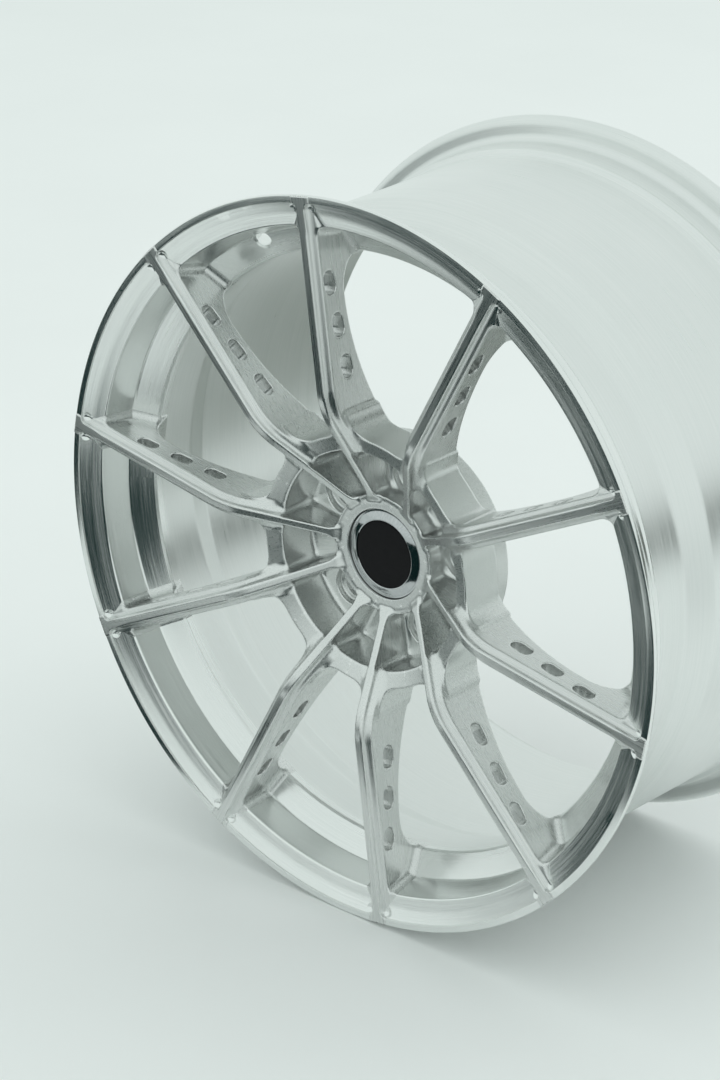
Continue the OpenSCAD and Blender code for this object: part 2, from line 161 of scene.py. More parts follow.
# Valve hole, square to the band between the bend and the inner edge.
VALVE_SHARE = 0.24
VALVE_R = BEND_R + VALVE_SHARE * (EDGE_R - BEND_R)
VALVE_Z = BEND_Z + VALVE_SHARE * (EDGE_Z - BEND_Z)
VALVE_HOLE_R = 5.75
VALVE_IN, VALVE_OUT = 8.0, 30.0
SPOT_R, SPOT_H = 7.5, 1.0
SPOT_EDGE, HOLE_EDGE = 0.3, 0.4
BAND_ANGLE = math.atan2(EDGE_Z - BEND_Z, BEND_R - EDGE_R)

# Centre cap: the disc's face is smaller than the part's, for a wider bevel on the bezel.
CAP_R = 32.0
CAP_GAP = 0.5
CAP_SEAT_R, CAP_SEAT_Z = CAP_R + CAP_GAP, 47.5
DISC_R = 24.3
DISC_Z = 43.4
DISC_BACK = DISC_Z + 1.5
BEZEL_IN, BEZEL_IN_Z = DISC_R + 0.1, 43.0
CREST_R, CREST_Z = 25.0, 42.7
BEVEL_R, BEVEL_Z = 30.5, 44.4
BRIM_Z = 44.8
BEZEL_BACK = CREST_Z + 3.7
BEZEL_FOOT_R = 27.4

# How softly neighbouring surfaces of spokes and hub run into each other.
WEB_EDGE = 1.4
RIB_END = 3.0
PLAN_ROUND = 14.0
HUB_EDGE = 1.6
ROOT_FILLET = 5.0
RING_FILLET, LIP_FILLET, LIP_FADE = 8.5, 0.8, 8.0
RING_SINK = 0.15
SLOT_EDGE = 1.2
GROOVE_EDGE, GROOVE_EDGE_LIP, GROOVE_FADE = 2.2, 0.5, 12.0
POCKET_ENDS, POCKET_SIDES, POCKET_FLOOR, POCKET_EDGE = 6.0, 6.5, 5.0, 1.8
LUG_FLOOR, LUG_EDGE = 2.0, 1.2
BORE_EDGE = 0.7
LIP_EDGE = 0.4

# Fineness of the meshes; the grid steps along radius, side and depth.
RIM_TURNS, RIM_STEP, RIM_SHARP = 720, 6.0, math.radians(24)
CAP_TURNS, DISC_STEP, CAP_SHARP = 240, 2.0, math.radians(22)
CURVE_STEPS = 24
REAR_STEPS = 30
GRID_STEP = 0.75, 0.62, 0.7
GRID_LOW = 27.5, -31, -0.6
GRID_HIGH = OUT_R + 1, 31, FACE_Z + 1.5
SEAM = 0.3


# Outlines: a list of (x, y, corner radius) becomes a polygon with arcs at its corners.
def rounded(points, steps=12):
    out = []
    for i, (x, y, r) in enumerate(points):
        q = np.array([x, y])
        if r == 0:
            out.append(q)
            continue
        to_last = np.array(points[i - 1][:2]) - q
        to_next = np.array(points[(i + 1) % len(points)][:2]) - q
        a = to_last / np.linalg.norm(to_last)
        b = to_next / np.linalg.norm(to_next)
        half = math.acos(float(np.clip(a @ b, -1, 1))) / 2
        centre = q + (a + b) / np.linalg.norm(a + b) * r / math.sin(half)
        first = q + a * r / math.tan(half) - centre
        last = q + b * r / math.tan(half) - centre
        start = math.atan2(first[1], first[0])
        sweep = (math.atan2(last[1], last[0]) - start + math.pi) % (2 * math.pi) - math.pi
        turn = start + sweep * np.linspace(0, 1, steps + 1)
        out.extend(centre + r * np.stack([np.cos(turn), np.sin(turn)], 1))
    out = np.array(out)
    step = np.linalg.norm(out - np.roll(out, 1, 0), axis=1)
    return out[step > 1e-4]


# The whole rim's section: outside from lip to rear flange, then back along the inside.
def rim_outline():
    rear_in = BARREL_END_R - WALL
    well_in = WELL_R - WALL
    return rounded([
        (OUT_R, LIP_Z, 0.8),
        (OUT_R, FLANGE_T, CURL_R),
        (SEAT_R, FLANGE_T, FOOT_R),
        (SEAT_R, SEAT_FRONT, 0),
        (SEAT_END_R, SEAT_END, 1),
        (SEAT_END_R + HUMP_H, HUMP_MID, 2),
        (SEAT_END_R - HUMP_FOOT, HUMP_END, 3),
        (WELL_R, WELL_FRONT, 4),
        (WELL_R, WELL_REAR, 10),
        (BARREL_R, BARREL_FRONT, 8),
        (BARREL_END_R, RIM_W - HUMP_END - REAR_SLOPE, 3),
        (BARREL_END_R + 0.8, RIM_W - HUMP_END - 1, 2),
        (SEAT_END_R + HUMP_H, RIM_W - HUMP_MID, 2),
        (SEAT_END_R, RIM_W - SEAT_END, 1),
        (SEAT_R, RIM_W - SEAT_FRONT, 0),
        (SEAT_R, RIM_W - FLANGE_T, FOOT_R),
        (OUT_R, RIM_W - FLANGE_T, CURL_R),
        (OUT_R, RIM_W, 1.2),
        (OUT_R - 6, RIM_W, 3),
        (SEAT_R + 6, RIM_W - 2.5, 8),
        (SEAT_R - 5, RIM_W - FLANGE_T + 1, 4),
        (rear_in + 1.4, RIM_W - SEAT_FRONT, 3),
        (rear_in, RIM_W - HUMP_END - REAR_SLOPE, 20),
        (BARREL_R - WALL, BARREL_FRONT, 8),
        (well_in, WELL_REAR - 2, 10),
        (well_in, WELL_FRONT + 2, 2),
        (LAND_R, WELL_FRONT, 0.5),
        (LAND_R, EDGE_Z + 2, 0.8),
        (EDGE_R, EDGE_Z, 0.4),
        (BEND_R, BEND_Z, 3),
        (MOUTH_R, MOUTH_Z, 2),
        ((MOUTH_R + LIP_R) / 2, (MOUTH_Z + LIP_Z + LIP_STEP) / 2 + DISH_BULGE, DISH_ROUND),
        (LIP_R, LIP_Z + LIP_STEP, 0.2),
        (LIP_R, LIP_Z, 0.3)])


# Depth of a ridge's top: flat, an arc at the knee, then a slope down to the collar.
def ridge_depth(u):
    middle = KNEE_R + KNEE_REACH
    arc = KNEE_ROUND - np.sqrt(np.maximum(KNEE_ROUND ** 2 - (middle - u) ** 2, 1))
    slope = (KNEE_R - u) * math.tan(DISH)
    return np.where(u > middle, 0, np.where(u < KNEE_R - KNEE_REACH * math.cos(DISH), slope, arc))


def rear_depth(u):
    return WAIST_Z + WEB_CURVE * (WAIST_R - u) ** 2


# Side view of a spoke from inside the collar to the lip, with its outer end inside the ring.
def web_outline():
    inner, back = COLLAR_R - 4, PAD_Z - 3
    knee = np.linspace(KNEE_R - KNEE_REACH * math.cos(DISH), KNEE_R + KNEE_REACH, CURVE_STEPS)
    front = [(u, float(ridge_depth(np.array(u)))) for u in [inner, *knee]]
    outer = [
        (TIP_R, 0), (TIP_R, LIP_Z + 0.6), (LIP_R + 1, LIP_Z + 2), (MOUTH_R + 6, MOUTH_Z - 0.5),
        (MOUTH_R + 1, MOUTH_Z + 4), (BEND_R + 1, BEND_Z + 1), (EDGE_R + 3, EDGE_Z + 3)]
    turn = np.radians(np.linspace(FLARE_START, FLARE_END, CURVE_STEPS))
    flare = np.stack([WAIST_R + FLARE_R * np.cos(turn), WAIST_Z + FLARE_R * (1 + np.sin(turn))], 1)
    rear = [(u, rear_depth(u)) for u in np.linspace(WAIST_R, ROOT_R, REAR_STEPS)[1:]]
    return np.array([*front, *outer, *flare, *rear, (HUB_R - 2, back), (inner, back)])


# Section of the hub: collar, cone, rear edge and mounting pad.
def hub_outline():
    past = ROOT_R + 2
    cone_end = SHOULDER_Z - (past - HUB_R) * (CONE_Z - SHOULDER_Z) / (HUB_R - POCKET_OUT)
    return rounded([
        (0, COLLAR_Z, 0),
        (COLLAR_R, COLLAR_Z, COLLAR_ROUND),
        (POCKET_OUT, CONE_Z, 0),
        (HUB_R, SHOULDER_Z, 0),
        (past, cone_end, 0),
        (past, rear_depth(past), 0),
        (HUB_R - 2, PAD_Z, 2),
        (PAD_R, PAD_Z + 6, 4),
        (PAD_R, FACE_Z, 1),
        (0, FACE_Z, 0)])


# Distance from points to an outline, negative inside, kept as a table and read between its entries.
class Outline:
    STEP = 0.25

    def __init__(self, polygon, low, high):
        self.low = np.array(low, float)
        self.size = np.ceil((np.array(high) - low) / self.STEP).astype(int) + 1
        x = self.low[0] + self.STEP * np.arange(self.size[0])
        y = self.low[1] + self.STEP * np.arange(self.size[1])
        px, py = np.meshgrid(x, y, indexing="ij")
        nearest = np.full(px.shape, np.inf)
        inside = np.zeros(px.shape, bool)
        for a, b in zip(polygon, np.roll(polygon, -1, 0)):
            d = b - a
            t = np.clip(((px - a[0]) * d[0] + (py - a[1]) * d[1]) / (d @ d), 0, 1)
            nearest = np.minimum(nearest, (px - a[0] - t * d[0]) ** 2 + (py - a[1] - t * d[1]) ** 2)
            if a[1] != b[1]:
                crosses = (a[1] > py) != (b[1] > py)
                inside ^= crosses & (px < d[0] * (py - a[1]) / d[1] + a[0])
        self.table = np.where(inside, -1, 1) * np.sqrt(nearest)

    def __call__(self, x, y):
        fx = np.clip((x - self.low[0]) / self.STEP, 0, self.size[0] - 1.001)
        fy = np.clip((y - self.low[1]) / self.STEP, 0, self.size[1] - 1.001)
        i, j = fx.astype(int), fy.astype(int)
        s, t = fx - i, fy - j
        g = self.table
        near = g[i, j] * (1 - s) + g[i + 1, j] * s
        far = g[i, j + 1] * (1 - s) + g[i + 1, j + 1] * s
        past = np.hypot(x - self.low[0] - fx * self.STEP, y - self.low[1] - fy * self.STEP)
        return near * (1 - t) + far * t + past


RING = Outline(rim_outline(), low=(204, -4), high=(264, 64))
WEB = Outline(web_outline(), low=(30, -4), high=(264, 62))
HUB = Outline(hub_outline(), low=(0, 8), high=(114, 86))


# Rounded union, intersection and difference of two distances.
def join(a, b, k):
    h = np.maximum(k - np.abs(a - b), 0) / k
    return np.minimum(a, b) - h * h * k / 4


def meet(a, b, k):
    return -join(-a, -b, k)


def cut(solid, tool, k):
    return meet(solid, -tool, k)


# Rises from 0 to 1 over a length.
def fade(value, start, length):
    return np.clip((value - start) / length, 0, 1)


# Fold the wheel onto one spoke's sector; the spoke leans toward +v.
def folded(u, v):
    turn = np.arctan2(v, u)
    half = math.radians(PITCH / 2)
    turn = np.mod(turn + half, 4 * half)
    turn = np.where(turn > 2 * half, 4 * half - turn, turn) - half
    r = np.hypot(u, v)
    return r * np.cos(turn), r * np.sin(turn), r


def groove_field(u, w, z):
    lean = math.cos(DISH) + (1 - math.cos(DISH)) * fade(u, KNEE_FADE, KNEE_FADE_LEN)
    aside = w - RIDGE_HALF - GROOVE_R
    below = (z - ridge_depth(u)) * lean - GROOVE_DROP
    past = np.maximum(np.maximum(u - GROOVE_END, GROOVE_START - u), 0)
    return np.sqrt(aside ** 2 + below ** 2 + past ** 2) - GROOVE_R


def slot_field(u, z):
    nearest = np.full(u.shape, np.inf)
    for i in range(SLOT_COUNT):
        du = u - SLOT_FIRST[0] + SLOT_PITCH * i
        dz = z - SLOT_FIRST[1] - SLOT_STEP * i
        along = du * math.cos(SLOT_TILT) - dz * math.sin(SLOT_TILT)
        across = du * math.sin(SLOT_TILT) + dz * math.cos(SLOT_TILT)
        nearest = np.minimum(nearest, np.hypot(np.maximum(np.abs(along) - SLOT_HALF, 0), across) - SLOT_R)
    return nearest


def lug_field(u, v, z):
    half = math.radians(PITCH / 2)
    d = np.hypot(u - LUG_R * math.cos(half), v + LUG_R * math.sin(half))
    seat = meet(d - LUG_SEAT_R, z - LUG_SEAT_Z, LUG_FLOOR)
    cone = (d - LUG_CONE_R + (z - LUG_SEAT_Z) * math.tan(LUG_CONE)) * math.cos(LUG_CONE)
    return np.minimum(seat, np.minimum(d - LUG_HOLE_R, np.maximum(cone, LUG_SEAT_Z - LUG_CONE_LEN - z)))


def bore_field(r, z):
    seat = np.maximum(r - CAP_SEAT_R, z - CAP_SEAT_Z)
    clip = r - CLIP_BORE_R
    hub = np.maximum(r - BORE_R, LEDGE_Z - z)
    relief = np.maximum(r - RELIEF_R, CATCH_Z - z)
    mouth = (r - BORE_R + FACE_Z - BORE_CHAMFER - z) / math.sqrt(2)
    return np.minimum(np.minimum(np.minimum(seat, clip), np.minimum(relief, hub)), mouth)


# Spoke, hub and ring as one rounded solid; the ring's own skin is made by the lathe.
def wheel_field(u, v, z):
    u, v, r = folded(u, v)
    w = np.abs(v - PAIR_SHIFT)
    half = RIDGE_HALF + (WEB_HALF - RIDGE_HALF) * fade(u, WIDEN_START, WIDEN_LEN)
    web = meet(meet(WEB(u, z), w - half, WEB_EDGE), RIB_START - r, RIB_END)
    plan = join(r - HUB_R, w - WEB_HALF, PLAN_ROUND)
    solid = join(web, meet(plan, HUB(r, z), HUB_EDGE), ROOT_FILLET)
    ring_fillet = RING_FILLET + (LIP_FILLET - RING_FILLET) * fade(r, MOUTH_R, LIP_FADE)
    solid = join(solid, RING(r, z) + RING_SINK, ring_fillet)
    solid = cut(solid, slot_field(u, z), SLOT_EDGE)
    groove_edge = GROOVE_EDGE + (GROOVE_EDGE_LIP - GROOVE_EDGE) * fade(r, BEND_R, GROOVE_FADE)
    solid = cut(solid, groove_field(u, w, z), groove_edge)
    pocket = meet(meet(POCKET_IN - r, r - POCKET_OUT, POCKET_ENDS), RIB_HALF - w, POCKET_SIDES)
    solid = cut(solid, meet(pocket, z - PAD_Z, POCKET_FLOOR), POCKET_EDGE)
    solid = cut(solid, lug_field(u, v, z), LUG_EDGE)
    solid = cut(solid, bore_field(r, z), BORE_EDGE)
    return meet(solid, np.maximum(-z, r - OUT_R), LIP_EDGE)


def gradient(field, p, e=0.05):
    out = np.empty_like(p)
    for i in range(3):
        d = np.zeros(3)
        d[i] = e
        out[:, i] = (field(*(p + d).T) - field(*(p - d).T)) / (2 * e)
    return out


CORNERS = [(i, j, k) for i in (0, 1) for j in (0, 1) for k in (0, 1)]


# Cells of a grid that the surface crosses, and each one's number on the grid.
def crossed_cells(solid):
    n = solid.shape
    count = np.zeros([m - 1 for m in n], np.int8)
    for i, j, k in CORNERS:
        count += solid[i:n[0] - 1 + i, j:n[1] - 1 + j, k:n[2] - 1 + k]
    cells = np.argwhere((count > 0) & (count < 8))
    number = np.full(count.shape, -1)
    number[tuple(cells.T)] = np.arange(len(cells))
    return cells, number


# Mean of the points where a cell's edges cross the surface, in steps of the grid.
def crossing_points(f, cells):
    total = np.zeros((len(cells), 3))
    hits = np.zeros(len(cells))
    for axis in range(3):
        for corner in CORNERS:
            if corner[axis]:
                continue
            far = np.array(corner)
            far[axis] = 1
            a = f[tuple((cells + corner).T)]
            b = f[tuple((cells + far).T)]
            crossing = (a < 0) != (b < 0)
            spot = cells + np.array(corner, float)
            spot[:, axis] += np.where(crossing, a / np.where(crossing, a - b, 1), 0)
            total += spot * crossing[:, None]
            hits += crossing
    return total / hits[:, None]


# One face round each edge of the grid that the surface crosses.
def crossing_faces(solid, number):
    n = solid.shape
    faces = []
    for axis in range(3):
        one, two = (axis + 1) % 3, (axis + 2) % 3
        edges = np.argwhere(np.diff(solid, axis=axis))
        keep = (edges[:, one] > 0) & (edges[:, two] > 0)
        keep &= (edges[:, one] < n[one] - 1) & (edges[:, two] < n[two] - 1)
        quad = []
        for da, db in ((-1, -1), (0, -1), (0, 0), (-1, 0)):
            e = edges[keep]
            e[:, one] += da
            e[:, two] += db
            quad.append(number[tuple(e.T)])
        faces.append(np.stack(quad, 1))
    return np.concatenate(faces)


# Mesh where a field is zero, on a grid of radius, side and depth, drawn onto the surface.
def skin(field, low, high, step, rounds=3, reach=0.5):
    def flat_place(r, v):
        return np.sqrt(np.maximum(r * r - v * v, 0))
    axes = [np.arange(a, b + c, c) for a, b, c in zip(low, high, step)]
    r, v, z = np.meshgrid(*axes, indexing="ij")
    f = field(flat_place(r, v), v, z)
    cells, number = crossed_cells(f < 0)
    place = np.array(low) + crossing_points(f, cells) * np.array(step)
    points = np.stack([flat_place(place[:, 0], place[:, 1]), place[:, 1], place[:, 2]], 1)
    for _ in range(rounds):
        g = gradient(field, points)
        off = np.clip(field(*points.T), -reach, reach)
        points -= off[:, None] * g / np.maximum((g * g).sum(1), 0.2)[:, None]
    return points, crossing_faces(f < 0, number)


# Turn every face so that its winding agrees with the normals.
def wound(points, faces, normals):
    p = points[faces]
    face_normal = np.cross(p[:, 2] - p[:, 0], p[:, 3] - p[:, 1])
    back = (face_normal * normals[faces].sum(1)).sum(1) < 0
    faces = faces.copy()
    faces[back] = faces[back][:, ::-1]
    return faces


# Keep only the points that faces use.
def compact(points, faces, normals):
    used, faces = np.unique(faces, return_inverse=True)
    return points[used], faces.reshape(-1, 4), normals[used]


# Pieces: points in the wheel's own millimetres become a mesh in the shared frame.
def stood(points, angle, flip=1):
    turn = math.radians(angle)
    u, v, z = points[:, 0], points[:, 1] * flip, points[:, 2]
    x = u * math.cos(turn) - v * math.sin(turn)
    up = u * math.sin(turn) + v * math.cos(turn)
    return np.stack([x, z, up], 1)


def placed(points):
    return (points - [0, RIM_W / 2, 0]) * MM


def piece(name, points, faces, body="rim", nodes=(), normals=None, grain=None):
    mesh = bpy.data.meshes.new(name)
    mesh.from_pydata(placed(points).tolist(), [], np.asarray(faces).tolist())
    mesh.polygons.foreach_set("use_smooth", np.ones(len(mesh.polygons), bool))
    if grain is not None:
        layer = mesh.attributes.new("grain", "FLOAT_VECTOR", "POINT")
        layer.data.foreach_set("vector", grain.astype(np.float32).ravel())
    if normals is not None:
        mesh.normals_split_custom_set_from_vertices(normals.tolist())
    obj = bpy.data.objects.new(name, mesh)
    bpy.context.collection.objects.link(obj)
    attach(obj, body)
    if nodes:
        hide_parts(*nodes)
    return obj


def spoke_angle(k):
    return PHASE - PITCH * (k - 1)


# Odd spokes lean one way and even ones the other.
def spoke_side(k):
    return 1 if k % 2 else -1


# A closed section turned about the axle.
def lathe(outline, turns):
    count = len(outline)
    turn = np.linspace(0, 2 * math.pi, turns, endpoint=False)
    r, z = outline[:, 0], outline[:, 1]
    x = np.cos(turn)[:, None] * r
    up = np.sin(turn)[:, None] * r
    points = np.stack([x, np.broadcast_to(z, x.shape), up], 2).reshape(-1, 3)
    i, j = np.meshgrid(np.arange(turns), np.arange(count), indexing="ij")
    here, following = i * count, (i + 1) % turns * count
    beside = (j + 1) % count
    faces = np.stack([here + j, here + beside, following + beside, following + j], 2)
    return points, faces.reshape(-1, 4)


# Fill long straight stretches of an outline with even steps.
def filled(outline, longest):
    out = []
    for a, b in zip(outline, np.roll(outline, -1, 0)):
        steps = max(1, int(math.ceil(np.linalg.norm(b - a) / longest)))
        out.extend(a + (b - a) * t for t in np.arange(steps) / steps)
    return np.array(out)


# A closed turned tool; its section is a list of (along, radius) with its two ends on the axis.
def turned_tool(start, axis, section, turns):
    side = np.cross(axis, [0.3, 0.2, 0.9])
    side /= np.linalg.norm(side)
    other = np.cross(axis, side)
    points = [start + axis * section[0][0], start + axis * section[-1][0]]
    turn = np.linspace(0, 2 * math.pi, turns, endpoint=False)
    rows = section[1:-1]
    for along, radius in rows:
        middle = start + axis * along
        points.extend(middle + radius * (math.cos(t) * side + math.sin(t) * other) for t in turn)
    faces = []
    for t in range(turns):
        n = (t + 1) % turns
        faces.append([0, 2 + n, 2 + t])
        for a in range(2, 2 + (len(rows) - 1) * turns, turns):
            faces.append([a + t, a + n, a + turns + n, a + turns + t])
        last = 2 + (len(rows) - 1) * turns
        faces.append([last + t, last + n, 1])
    return points, faces


# Start and direction of a tool, given in a spoke's own frame.
def aimed(place, direction, angle):
    return stood(np.array([place]), angle)[0], stood(np.array([direction]), angle)[0]


# Tools for the ball ends of the grooves and for the valve hole with its spot face.
def rim_tools():
    bend = np.linspace(0, math.pi / 2, 13)
    ball = [(GROOVE_END + GROOVE_R * math.sin(a), GROOVE_R * math.cos(a)) for a in bend]
    begin = MOUTH_R - 12
    capsule = [(begin, 0), (begin, GROOVE_R), *ball]
    tools = []
    for k in range(1, SPOKES + 1):
        for s in (-1, 1):
            aside = spoke_side(k) * PAIR_SHIFT + s * (RIDGE_HALF + GROOVE_R)
            aim = aimed([0, aside, GROOVE_DROP], [1.0, 0, 0], spoke_angle(k))
            tools.append(turned_tool(*aim, capsule, 48))
    hole = [
        (-VALVE_IN, 0), (-VALVE_IN, SPOT_R), (SPOT_H - SPOT_EDGE, SPOT_R), (SPOT_H, SPOT_R - SPOT_EDGE),
        (SPOT_H, VALVE_HOLE_R + HOLE_EDGE), (SPOT_H + HOLE_EDGE, VALVE_HOLE_R), (VALVE_OUT, VALVE_HOLE_R),
        (VALVE_OUT, 0)]
    square = [math.sin(BAND_ANGLE), 0, math.cos(BAND_ANGLE)]
    aim = aimed([VALVE_R, 0, VALVE_Z], square, spoke_angle(1) + PITCH / 2)
    tools.append(turned_tool(*aim, hole, 64))
    points, faces = [], []
    for new_points, new_faces in tools:
        faces.extend([len(points) + i for i in face] for face in new_faces)
        points.extend(new_points)
    return np.array(points), faces


def rim_shell():
    points, faces = lathe(filled(rim_outline(), RIM_STEP), RIM_TURNS)
    shell = piece("rim_shell", points, faces, nodes=(
        "front_flange", "front_seat", "valve_sector", "drop_well", "barrel", "rear_seat", "rear_flange"))
    points, faces = rim_tools()
    mesh = bpy.data.meshes.new("rim_tools")
    mesh.from_pydata(placed(points).tolist(), [], faces)
    tool = bpy.data.objects.new("rim_tools", mesh)
    bpy.context.collection.objects.link(tool)
    modifier = shell.modifiers.new("cut", "BOOLEAN")
    modifier.object = tool
    modifier.operation = "DIFFERENCE"
    modifier.solver = "EXACT"
    bpy.context.view_layer.update()
    evaluated = shell.evaluated_get(bpy.context.evaluated_depsgraph_get())
    done = bpy.data.meshes.new_from_object(evaluated)
    shell.modifiers.remove(modifier)
    shell.data = done
    bpy.data.objects.remove(tool)
    done.polygons.foreach_set("use_smooth", np.ones(len(done.polygons), bool))
    done.set_sharp_from_angle(angle=RIM_SHARP)
    return shell


# One sector of spoke and hub, shared by all ten spokes, with the radius of each face.
def sector():
    points, faces = skin(wheel_field, GRID_LOW, GRID_HIGH, GRID_STEP)
    normals = gradient(wheel_field, points, 0.15)
    normals /= np.maximum(np.linalg.norm(normals, axis=1), 1e-6)[:, None]
    middle = points[faces].mean(1)
    r = np.hypot(middle[:, 0], middle[:, 1])
    half = math.radians(PITCH / 2)
    own = np.abs(np.arctan2(middle[:, 1], middle[:, 0])) < half + SEAM / r
    outside_ring = RING(r, middle[:, 2]) > -0.8 * RING_SINK
    keep = own & (outside_ring | (r < WAIST_R))
    faces, r = faces[keep], r[keep]
    reach = np.hypot(points[:, 0], points[:, 1])
    turn = np.clip(np.arctan2(points[:, 1], points[:, 0]), -half, half)
    points = np.stack([reach * np.cos(turn), reach * np.sin(turn), points[:, 2]], 1)
    return points, wound(points, faces, normals), normals, r


# Direction of the brushing: along the spoke, and down its slope inside the knee.
def spoke_grain(points):
    slope = (fade(points[:, 0], KNEE_FADE, KNEE_FADE_LEN) - 1) * math.tan(DISH)
    return np.stack([np.ones(len(points)), np.zeros(len(points)), slope], 1)


def spokes_and_hub():
    points, faces, normals, r = sector()
    spoke_points, spoke_faces, spoke_normals = compact(points, faces[r >= ROOT_R], normals)
    hub_points, hub_faces, hub_normals = compact(points, faces[r < ROOT_R], normals)
    spokes, hub = [], []
    for k in range(1, SPOKES + 1):
        angle, flip = spoke_angle(k), spoke_side(k)
        spokes.append(piece(
            f"spoke_{k:02d}_skin", stood(spoke_points, angle, flip), spoke_faces[:, ::-flip],
            nodes=(f"spoke_{k:02d}",), normals=stood(spoke_normals, angle, flip),
            grain=stood(spoke_grain(spoke_points), angle, flip)))
        hub.append((
            stood(hub_points, angle, flip), hub_faces[:, ::-flip] + len(hub_points) * len(hub),
            stood(hub_normals, angle, flip), stood(spoke_grain(hub_points), angle, flip)))
    points, faces, normals, grain = [np.concatenate(column) for column in zip(*hub)]
    middle = piece("hub_skin", points, faces, nodes=("hub_spider", "hub_pad"), normals=normals, grain=grain)
    return spokes, middle


# Cap: a bevelled bezel and a bare disc, turned finely; the clips, wire and gasket are shown as built.
def cap_front():
    bezel = rounded([
        (BEZEL_IN, BEZEL_IN_Z, 0), (CREST_R, CREST_Z, 0.25), (BEVEL_R, BEVEL_Z, 0.15), (BEVEL_R, BRIM_Z, 0.1),
        (CAP_R, BRIM_Z, 0.35), (CAP_R, BEZEL_BACK, 0.15), (BEZEL_FOOT_R, BEZEL_BACK, 0),
        (BEZEL_FOOT_R, DISC_BACK, 0), (BEZEL_IN, DISC_BACK, 0)], 6)
    pin = 0.01
    disc = rounded([(pin, DISC_Z, 0), (DISC_R, DISC_Z, 0.4), (DISC_R, DISC_BACK, 0), (pin, DISC_BACK, 0)], 6)
    made = []
    for name, outline, slot, node in (
            ("cap_bezel_ring", bezel, "bezel", "cap_bezel"),
            ("cap_disc_face", filled(disc, DISC_STEP), "disc", "cap_disc")):
        points, faces = lathe(outline, CAP_TURNS)
        obj = piece(name, points, faces, "cap", (node,))
        obj.data.set_sharp_from_angle(angle=CAP_SHARP)
        made.append(obj)
    return made


# Finishes: each one is a node tree built from noise, with constants set on the shader itself.
class Finish:
    def __init__(self, name, **values):
        self.material = bpy.data.materials.new(name)
        self.material.use_nodes = True
        self.tree = self.material.node_tree
        self.shader = self.tree.nodes["Principled BSDF"]
        for key, value in values.items():
            self.shader.inputs[key.replace("_", " ")].default_value = value

    def node(self, kind, **inputs):
        made = self.tree.nodes.new(kind)
        for key, value in inputs.items():
            self.plug(value, made.inputs[key])
        return made

    def plug(self, value, socket):
        if isinstance(value, bpy.types.NodeSocket):
            self.tree.links.new(value, socket)
        else:
            socket.default_value = value

    def math(self, operation, a, b=0.0):
        made = self.tree.nodes.new("ShaderNodeMath")
        made.operation = operation
        self.plug(a, made.inputs[0])
        self.plug(b, made.inputs[1])
        return made.outputs[0]

    def place(self):
        return self.node("ShaderNodeTexCoord").outputs["Object"]

    def noise(self, vector, scale, detail=3.0, rough=0.55):
        made = self.node("ShaderNodeTexNoise", Vector=vector, Scale=scale, Detail=detail, Roughness=rough)
        return made.outputs["Fac"]

    def span(self, value, low, high, start=0.3, end=0.7):
        made = self.tree.nodes.new("ShaderNodeMapRange")
        for key, number in zip(("From Min", "From Max", "To Min", "To Max"), (start, end, low, high)):
            made.inputs[key].default_value = number
        self.plug(value, made.inputs["Value"])
        return made.outputs["Result"]

    def tint(self, value, dark, light):
        made = self.tree.nodes.new("ShaderNodeMix")
        made.data_type = "RGBA"
        self.plug(value, made.inputs["Factor"])
        made.inputs["A"].default_value = (*dark, 1)
        made.inputs["B"].default_value = (*light, 1)
        return made.outputs["Result"]

    def bump(self, height, strength, distance):
        made = self.node("ShaderNodeBump", Height=height, Strength=strength, Distance=distance)
        self.tree.links.new(made.outputs["Normal"], self.shader.inputs["Normal"])

    def set(self, **links):
        for key, value in links.items():
            self.plug(value, self.shader.inputs[key.replace("_", " ")])


# Cylinder coordinates about the axle, stretched as asked: radius, turn and depth.
def turned_place(finish, radius, turn, depth):
    split = finish.node("ShaderNodeSeparateXYZ", Vector=finish.place())
    x, y, z = split.outputs
    r = finish.math("SQRT", finish.math("ADD", finish.math("MULTIPLY", x, x), finish.math("MULTIPLY", z, z)))
    angle = finish.math("ARCTAN2", z, x)
    parts = [finish.math("MULTIPLY", a, b) for a, b in ((r, radius), (angle, turn), (y, depth))]
    return finish.node("ShaderNodeCombineXYZ", X=parts[0], Y=parts[1], Z=parts[2]).outputs["Vector"]


# Depths between which the rim's polish gives way to a rougher barrel, in metres of the shared frame.
SOFT_START, SOFT_END = -0.10, -0.075
ALLOY_LIGHT = 0.955, 0.96, 0.95


# Brushed alloy: streaks along the stretch, cloudy tone, and a painted highlight that lightens convex edges
# and makes them a little smoother; rougher behind the front if asked.
def alloy(name, stretch, anisotropic, rough, bump, dark, softer=0.0):
    finish = Finish(name, Metallic=1.0, Anisotropic=anisotropic, Anisotropic_Rotation=0.25)
    grain = finish.noise(turned_place(finish, *stretch), 1.0, 4.0, 0.6)
    cloud = finish.noise(finish.place(), 9.0, 3.0)
    # Painted highlight: convex edges, found by pointiness, get a lighter colour.
    edge_highlight = finish.span(finish.node("ShaderNodeNewGeometry").outputs["Pointiness"], 0.0, 1.0, 0.51, 0.56)
    tone = finish.math("ADD", finish.math("MULTIPLY", grain, 0.6), finish.math("MULTIPLY", cloud, 0.4))
    tone = finish.math("ADD", finish.span(tone, 0.0, 0.75), finish.math("MULTIPLY", edge_highlight, 0.25))
    finish.set(Base_Color=finish.tint(tone, (0.97 * dark, dark, 0.985 * dark), ALLOY_LIGHT))
    spread = finish.span(grain, rough - 0.06, rough + 0.06)
    spread = finish.math("ADD", spread, finish.span(cloud, -0.02, 0.03))
    depth = finish.node("ShaderNodeSeparateXYZ", Vector=finish.place()).outputs["Y"]
    spread = finish.math("ADD", spread, finish.span(depth, 0.0, softer, SOFT_START, SOFT_END))
    finish.set(Roughness=finish.math("SUBTRACT", spread, finish.math("MULTIPLY", edge_highlight, 0.05)))
    finish.bump(grain, bump, 0.0002)
    return finish


